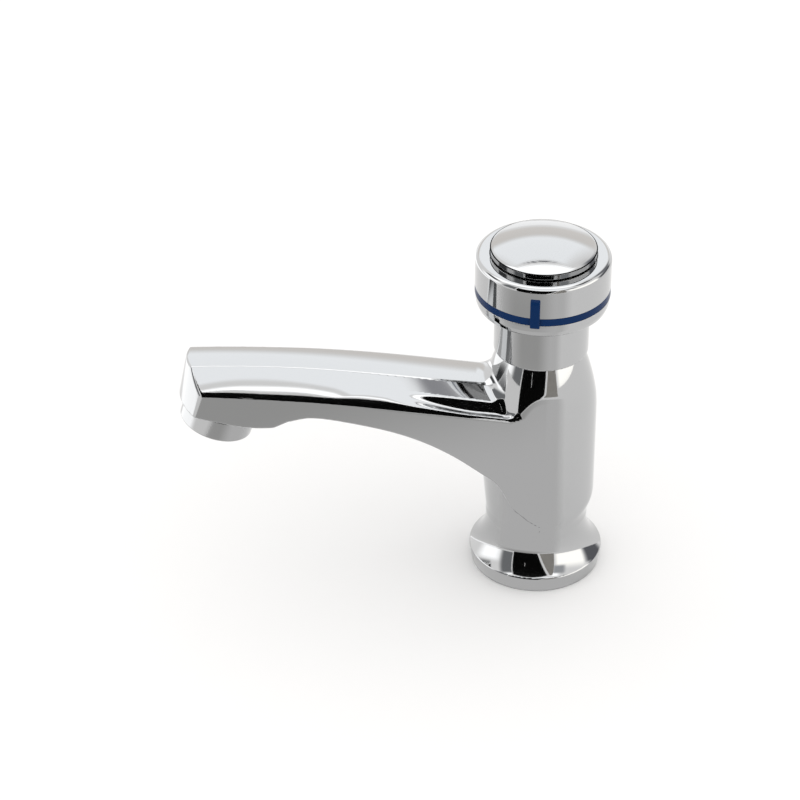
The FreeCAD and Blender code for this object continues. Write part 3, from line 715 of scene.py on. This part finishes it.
def soft_light(name, colour, glow, edge):
    """A glowing cloth that fades out towards the edges of its card."""
    mat = bpy.data.materials.new(name)
    mat.use_nodes = True
    nodes, links = mat.node_tree.nodes, mat.node_tree.links
    nodes.remove(nodes["Principled BSDF"])
    light = nodes.new("ShaderNodeEmission")
    light.inputs["Color"].default_value = (*colour, 1.0)
    light.inputs["Strength"].default_value = glow
    clear = nodes.new("ShaderNodeBsdfTransparent")
    mix = nodes.new("ShaderNodeMixShader")
    place = nodes.new("ShaderNodeUVMap")
    split = nodes.new("ShaderNodeSeparateXYZ")
    links.new(place.outputs["UV"], split.inputs["Vector"])
    fades = []
    for axis, width in zip("XY", edge):
        away = nodes.new("ShaderNodeMath")
        away.operation = "PINGPONG"
        away.inputs[1].default_value = 0.5
        links.new(split.outputs[axis], away.inputs[0])
        fade = nodes.new("ShaderNodeMapRange")
        fade.interpolation_type = "SMOOTHSTEP"
        fade.inputs["From Max"].default_value = width
        links.new(away.outputs[0], fade.inputs["Value"])
        fades.append(fade)
    both = nodes.new("ShaderNodeMath")
    both.operation = "MULTIPLY"
    links.new(fades[0].outputs["Result"], both.inputs[0])
    links.new(fades[1].outputs["Result"], both.inputs[1])
    links.new(both.outputs[0], mix.inputs["Fac"])
    links.new(clear.outputs[0], mix.inputs[1])
    links.new(light.outputs[0], mix.inputs[2])
    links.new(mix.outputs[0], nodes["Material Output"].inputs["Surface"])
    return mat


def cloth(name, place, colour, glow, edge):
    """A glowing cloth of 12 by 12 panes. place(i, j) gives its points, with i and j running from 0 to 1."""
    n = PANES + 1
    pts = [place(i / PANES, j / PANES) for j in range(n) for i in range(n)]
    faces = []
    for j in range(PANES):
        for i in range(PANES):
            first = j * n + i
            faces.append((first, first + 1, first + n + 1, first + n))
    mesh = bpy.data.meshes.new(name)
    mesh.from_pydata(pts, [], faces)
    uv = mesh.uv_layers.new(name="UVMap")
    for corner in mesh.loops:
        uv.data[corner.index].uv = (corner.vertex_index % n / PANES, corner.vertex_index // n / PANES)
    mesh.materials.append(soft_light(name, colour, glow, edge))
    return only_in_reflections(bpy.data.objects.new(name, mesh))


# %% [markdown]
# ## Where a card stands
# Chrome shows a card where its direction is mirrored, so cards are placed by direction: an azimuth, which is 0 towards
# the camera and grows to the right in the photo, and an elevation. Lit patches lie on the table, strips hang above.

# %% Placing cards
def toward(azimuth, elevation, far):
    """The point at that distance from the tap."""
    a, e = math.radians(azimuth), math.radians(elevation)
    flat = math.cos(a) * -ahead + math.sin(a) * right
    return far * (math.cos(e) * flat + math.sin(e) * Vector((0, 0, 1)))


def between(ends, share):
    return ends[0] + (ends[1] - ends[0]) * share


def card(name, azimuths, elevations, colour, glow, edge=(0.1, 0.1), far=2.5):
    """A curved card on a ball round the tap, between two azimuths and two elevations."""
    return cloth(name, lambda i, j: toward(between(azimuths, i), between(elevations, j), far), colour, glow, edge)


def on_table(name, azimuths, reach, colour, glow, edge, lift=0.0006):
    """A glowing patch of the table, as a glossy top shows it from low down."""
    def place(i, j):
        return toward(between(azimuths, i), 0, between(reach, j)) + Vector((0, 0, lift))
    return cloth(name, place, colour, glow, edge)


def overhead(name, across, pitches, colour, glow, edge, height=1.6):
    """A level strip above the tap, from left to right, between two pitches counted from the camera's horizon."""
    ends = [height / math.tan(math.radians(p)) for p in pitches]

    def place(i, j):
        return between(across, i) * right - between(ends, j) * ahead + Vector((0, 0, height))
    return cloth(name, place, colour, glow, edge)


def slanted(name, low, high, heights, far, colour):
    """A flat upright card whose sides may lean: low and high give its azimuths at the bottom and at the top."""
    corners = []
    for azimuth, z in ((low[0], heights[0]), (low[1], heights[0]), (high[1], heights[1]), (high[0], heights[1])):
        corners.append(toward(azimuth, 0, far) + Vector((0, 0, z)))
    mesh = bpy.data.meshes.new(name)
    mesh.from_pydata([tuple(c) for c in corners], [], [(0, 1, 2, 3)])
    mesh.materials.append(plain(name, colour))
    return only_in_reflections(bpy.data.objects.new(name, mesh))


# %% [markdown]
# ## Black card with a white rim
# Chrome looks like chrome only where it also mirrors something dark. A black card stands between camera and tap and
# gives the dark patches on the shoulder and the foot. A white card a step behind it draws a thin bright outline round
# them, a small slit adds the thin bright mark inside the patch on the shoulder, and a grey card darkens the right.

# %% Dark and white cards in front
BLACK, WHITE = (0.004, 0.004, 0.004), (1.0, 1.0, 1.0)
slanted("black_card", (-43, 2), (-43, 22), (0.0, 0.30), 0.29, BLACK)
slanted("white_rim", (-45, 6), (-45, 27), (0.0, 0.325), 0.315, WHITE)
slanted("slit_in_the_black_card", (-20.6, -20.0), (-20.6, -20.0), (0.09, 0.125), 0.24, WHITE)
slanted("right_grey", (-6, 34), (-6, 32), (0.0, 0.365), 0.36, (0.36, 0.345, 0.32))
print("a black card, its white rim, a slit and a grey card stand in front")

# %% [markdown]
# ## Light round the tap
# The lit table gives the grey of the spout's side, the two side cloths give the bright edges, and the dim cards
# between them keep the outline from melting into the white room. The strips above make the pale bands on the dome
# and the crest.

# %% Light on the table, at the sides, in front, above and behind
COOL, PALE_BLUE, DUSK = (0.95, 0.97, 1.0), (0.97, 0.985, 1.0), (0.9, 0.92, 1.0)
on_table("table_front", (-85, 48), (0.0, 0.25), (1.0, 0.99, 0.98), 0.82, (0.15, 0.06))
on_table("table_dim", (-80, 22), (0.09, 0.29), (1.0, 0.99, 0.97), 0.56, (0.35, 0.4), 0.0009)
on_table("table_left", (-165, -72), (0.24, 0.9), WHITE, 1.9, (0.15, 0.06))
card("left_softbox", (-122, -62), (-12, 28), WHITE, 2.15, (0.35, 0.3))
card("left_grey", (-74, -36), (-14, 48), COOL, 0.28, (0.3, 0.1), 2.4)
card("right_softbox", (34, 98), (-12, 36), (1.0, 0.98, 0.93), 2.2, (0.14, 0.35))
card("right_upper_grey", (28, 60), (22, 46), COOL, 0.6, (0.3, 0.3), 2.3)
card("right_dark", (92, 136), (-12, 28), DUSK, 0.2, (0.25, 0.15), 2.4)
card("right_dark_upper", (108, 150), (16, 56), DUSK, 0.3, (0.3, 0.3), 2.3)
card("left_dark_high", (-118, -84), (22, 72), COOL, 0.12, (0.2, 0.2), 2.4)
card("front_softbox", (-62, 50), (41, 48.5), WHITE, 2.3, (0.1, 0.12))
card("ceiling_front", (-62, 70), (49.5, 80), PALE_BLUE, 1.68, (0.15, 0.06))
overhead("overhead_rail", (-1.6, 0.75), (78, 82), (0.95, 0.95, 1.0), 0.5, (0.1, 0.4))
overhead("overhead_strip", (-1.6, 0.75), (83, 117), WHITE, 2.2, (0.1, 0.12))
overhead("overhead_dark", (0.75, 1.4), (76, 112), COOL, 0.16, (0.15, 0.2), 1.55)
overhead("overhead_back_rail", (-0.35, 0.35), (117, 119), (0.9, 0.9, 1.0), 0.3, (0.4, 0.4), 1.5)
card("back_low", (140, 220), (-2, 13), WHITE, 1.5, (0.2, 0.2))
card("back_band", (146, 214), (13, 31), (1.0, 0.96, 0.92), 1.12, (0.2, 0.25))
card("back_bright", (146, 216), (29, 62), PALE_BLUE, 1.65, (0.2, 0.15))

# %% [markdown]
# ## The bright room
# An even, slightly warm room lights the floor and the plastics, gives the soft shadow and stands as a white backdrop.

# %% World
world = bpy.data.worlds.new("studio")
bpy.context.scene.world = world
world.use_nodes = True
room = world.node_tree.nodes["Background"]
room.inputs["Color"].default_value = (1.0, 0.99, 0.98, 1)
room.inputs["Strength"].default_value = 1.25
bpy.context.scene.view_settings.view_transform = "Standard"
print("room strength", round(room.inputs["Strength"].default_value, 2))
